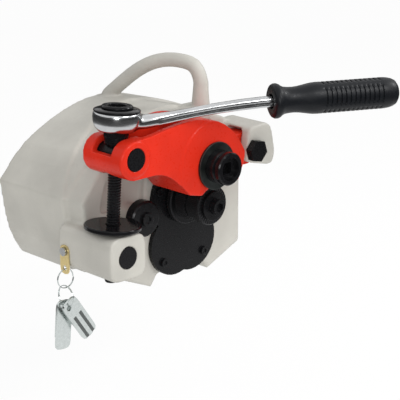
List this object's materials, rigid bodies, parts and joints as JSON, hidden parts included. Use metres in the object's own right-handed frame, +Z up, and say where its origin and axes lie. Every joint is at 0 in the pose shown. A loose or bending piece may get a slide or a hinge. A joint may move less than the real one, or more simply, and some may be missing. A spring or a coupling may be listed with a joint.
{
  "type": "pipe roll groover",
  "caption": "Roll groover that presses a groove into a pipe end between a driven roll and a roll on a red feed arm, closed by a screw and hand ratchet.",
  "frame": {"origin": "centre of the drive shaft's rear end face", "axes": "+Y to the rear along the drive shaft, +Z up, +X to the right of a person facing the rolls"},
  "size_m": [0.3499, 0.3395, 0.3103],
  "materials": {
    "cast_grey": "satin light grey paint on cast iron",
    "arm_red": "gloss red paint on a casting",
    "black_steel": "black oxide, oiled",
    "plain_steel": "machined steel",
    "chrome": "polished chrome plate",
    "rubber": "moulded rubber, matte",
    "bronze": "bearing bronze",
    "brass": "yellow passivated sheet",
    "zinc": "zinc plated sheet and wire"
  },
  "bodies": {
    "housing": {"housing_front": "cast_grey", "chuck_hood": "cast_grey", "carry_handle": "cast_grey", "face_plate": "black_steel", "plate_screw_lower_left": "black_steel", "plate_screw_lower_right": "black_steel", "plate_screw_upper_left": "black_steel", "plate_screw_upper_right": "black_steel", "front_bearing": "plain_steel", "rear_bearing": "plain_steel", "bearing_spacer": "plain_steel", "pivot_bolt": "black_steel", "pivot_washer": "plain_steel", "pivot_nut": "plain_steel", "gauge_tab": "brass", "tab_screw": "plain_steel", "guide_stud": "plain_steel"},
    "drive": {"drive_shaft": "plain_steel", "drive_roll": "black_steel", "drive_key": "plain_steel", "roll_washer": "black_steel", "roll_bolt": "black_steel", "shaft_clip": "black_steel"},
    "arm": {"feed_arm": "arm_red", "arm_bush": "bronze", "thrust_washer": "plain_steel", "front_needle_bearing": "plain_steel", "rear_needle_bearing": "plain_steel"},
    "grooving_roll": {"groove_roll": "black_steel", "groove_roll_key": "plain_steel", "roll_shaft": "black_steel", "roll_clip": "black_steel"},
    "trunnion_high": {"upper_trunnion": "black_steel", "screw_washer": "plain_steel"},
    "screw": {"feed_screw": "black_steel", "screw_clip": "plain_steel", "ratchet_gear": "plain_steel"},
    "disc": {"index_disc": "black_steel"},
    "trunnion_low": {"lower_trunnion": "black_steel"},
    "ratchet": {"ratchet_body": "chrome", "ratchet_pawl": "plain_steel", "pawl_spring": "plain_steel", "ratchet_cap": "black_steel", "ratchet_grip": "rubber"},
    "dial": {"reverse_dial": "black_steel"},
    "roller": {"guide_roller": "black_steel"},
    "ring_high": {"upper_split_ring": "zinc"},
    "ring_low": {"lower_split_ring": "zinc"},
    "gauge_flat": {"flat_gauge": "zinc"},
    "gauge_channel": {"channel_gauge": "zinc"}
  },
  "joints": [
    {"name": "drive_spin", "type": "hinge", "parent": "housing", "child": "drive", "pos_m": [0, -0.165, 0], "axis": [0, 1, 0], "continuous": true},
    {"name": "arm_pivot", "type": "hinge", "parent": "housing", "child": "arm", "pos_m": [0.078, -0.165, 0.049], "axis": [0, 1, 0], "range_deg": [0, 6.65]},
    {"name": "groove_roll_spin", "type": "hinge", "parent": "arm", "child": "grooving_roll", "pos_m": [-0.01, -0.165, 0.0525], "axis": [0, 1, 0], "continuous": true},
    {"name": "upper_trunnion_turn", "type": "hinge", "parent": "arm", "child": "trunnion_high", "pos_m": [-0.128, -0.1835, 0.081], "axis": [0, 1, 0], "range_deg": [-5.3, 0]},
    {"name": "feed_screw_turn", "type": "hinge", "parent": "trunnion_high", "child": "screw", "pos_m": [-0.128, -0.1835, 0.081], "axis": [0.0698, 0, 0.9976], "range_deg": [0, 2875]},
    {"name": "lower_trunnion_turn", "type": "hinge", "parent": "housing", "child": "trunnion_low", "pos_m": [-0.13564, -0.1835, -0.02823], "axis": [0, 1, 0], "range_deg": [0, 1.6]},
    {"name": "index_disc_travel", "type": "slide", "parent": "screw", "child": "disc", "axis": [0.0698, 0, 0.9976], "range_m": [0, 0.025]},
    {"name": "ratchet_swing", "type": "hinge", "parent": "trunnion_high", "child": "ratchet", "pos_m": [-0.12542, -0.1835, 0.11791], "axis": [0.0698, 0, 0.9976], "range_deg": [-270, 25]},
    {"name": "reverse_dial_turn", "type": "hinge", "parent": "ratchet", "child": "dial", "pos_m": [-0.12444, -0.1835, 0.13188], "axis": [0.0698, 0, 0.9976], "range_deg": [-20, 20]},
    {"name": "guide_roller_spin", "type": "hinge", "parent": "housing", "child": "roller", "pos_m": [-0.078, -0.17, -0.005], "axis": [0, 1, 0], "continuous": true},
    {"name": "upper_ring_swing", "type": "hinge", "parent": "housing", "child": "ring_high", "pos_m": [-0.16169, -0.134, -0.0537], "axis": [1, 0, 0], "range_deg": [-30, 30]},
    {"name": "lower_ring_swing", "type": "hinge", "parent": "ring_high", "child": "ring_low", "pos_m": [-0.16169, -0.134, -0.0757], "axis": [1, 0, 0], "range_deg": [-20, 20]},
    {"name": "flat_gauge_swing", "type": "hinge", "parent": "ring_low", "child": "gauge_flat", "pos_m": [-0.16169, -0.1304, -0.09787], "axis": [0, 1, 0], "range_deg": [-20, 20]},
    {"name": "channel_gauge_swing", "type": "hinge", "parent": "ring_low", "child": "gauge_channel", "pos_m": [-0.16169, -0.1376, -0.09787], "axis": [0, 1, 0], "range_deg": [-20, 20]}
  ],
  "couplings": [
    {"joint": "arm_pivot", "follows": "feed_screw_turn", "ratio": 0.0023108},
    {"joint": "upper_trunnion_turn", "follows": "feed_screw_turn", "ratio": -0.001799},
    {"joint": "lower_trunnion_turn", "follows": "feed_screw_turn", "ratio": 0.00051177}
  ]
}
